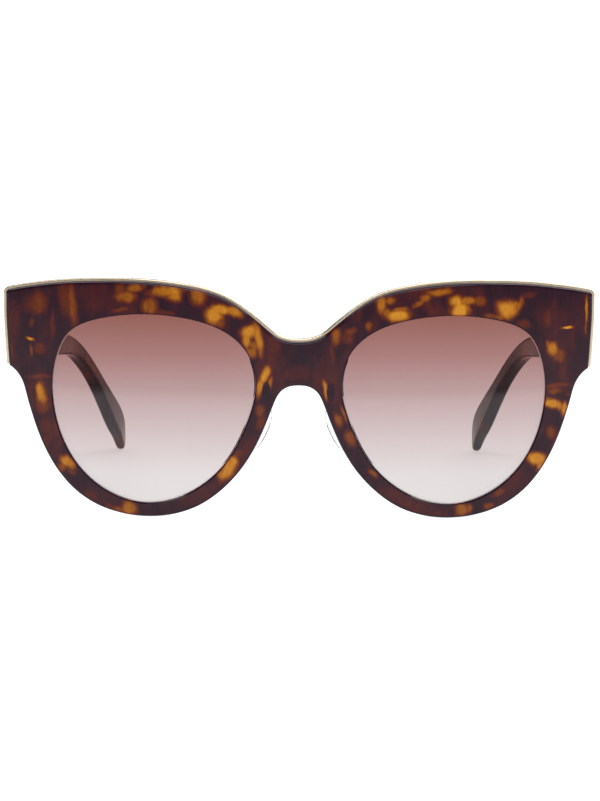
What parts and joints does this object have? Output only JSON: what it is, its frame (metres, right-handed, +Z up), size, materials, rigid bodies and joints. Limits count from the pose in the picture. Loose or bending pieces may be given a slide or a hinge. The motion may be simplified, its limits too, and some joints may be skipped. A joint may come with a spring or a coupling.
{
  "type": "cat eye sunglasses",
  "caption": "Oversized cat eye sunglasses: tortoiseshell acetate front and folding temples, gold brow trim, gradient lenses, clear nose pads on metal arms.",
  "frame": {"origin": "middle of the bounding box in X and Y, at the height of the surface the glasses stand on (z = 0 touches the lower rims and the temple tips)", "axes": "+Z up; the front faces -Y; the temples run towards +Y; +X is the wearer's left, which is the right of someone facing the front"},
  "size_m": [0.1478, 0.1364, 0.0593],
  "materials": {
    "acetate": "polished tortoiseshell: near-black plum brown with soft amber and red-brown patches",
    "trim_metal": "polished pale gold",
    "gradient_lens": "polished, rose brown at the top fading to nearly clear at the bottom",
    "clear_silicone": "clear, satin",
    "pad_insert": "clear hard plastic",
    "pad_arm_metal": "fine satin",
    "hinge_steel": "fine satin",
    "screw_steel": "polished",
    "core_wire_metal": "plain drawn wire"
  },
  "bodies": {
    "front": {"front_frame": "acetate", "brow_trim": "trim_metal", "lens_left": "gradient_lens", "lens_right": "gradient_lens", "pad_arm_left": "pad_arm_metal", "pad_arm_right": "pad_arm_metal", "pad_screw_left": "screw_steel", "pad_screw_right": "screw_steel", "front_hinge_left": "hinge_steel", "front_hinge_right": "hinge_steel", "hinge_screw_left": "screw_steel", "hinge_screw_right": "screw_steel"},
    "left_temple": {"temple_left": "acetate", "temple_hinge_left": "hinge_steel", "core_wire_left": "core_wire_metal"},
    "right_temple": {"temple_right": "acetate", "temple_hinge_right": "hinge_steel", "core_wire_right": "core_wire_metal"},
    "left_pad": {"nose_pad_left": "clear_silicone", "pad_core_left": "pad_insert"},
    "right_pad": {"nose_pad_right": "clear_silicone", "pad_core_right": "pad_insert"}
  },
  "joints": [
    {"name": "temple_left_fold", "type": "hinge", "parent": "front", "child": "left_temple", "pos_m": [0.067, -0.05056, 0.0455], "axis": [0, 0, 1], "range_deg": [0, 83.5]},
    {"name": "temple_right_fold", "type": "hinge", "parent": "front", "child": "right_temple", "pos_m": [-0.067, -0.05056, 0.0455], "axis": [0, 0, -1], "range_deg": [0, 77.5]},
    {"name": "nose_pad_left_tilt", "type": "hinge", "parent": "front", "child": "left_pad", "pos_m": [0.01163, -0.05788, 0.02178], "axis": [-0.4183, -0.8829, -0.2131], "range_deg": [-8, 8]},
    {"name": "nose_pad_right_tilt", "type": "hinge", "parent": "front", "child": "right_pad", "pos_m": [-0.01163, -0.05788, 0.02178], "axis": [-0.4183, 0.8829, 0.2131], "range_deg": [-8, 8]}
  ]
}
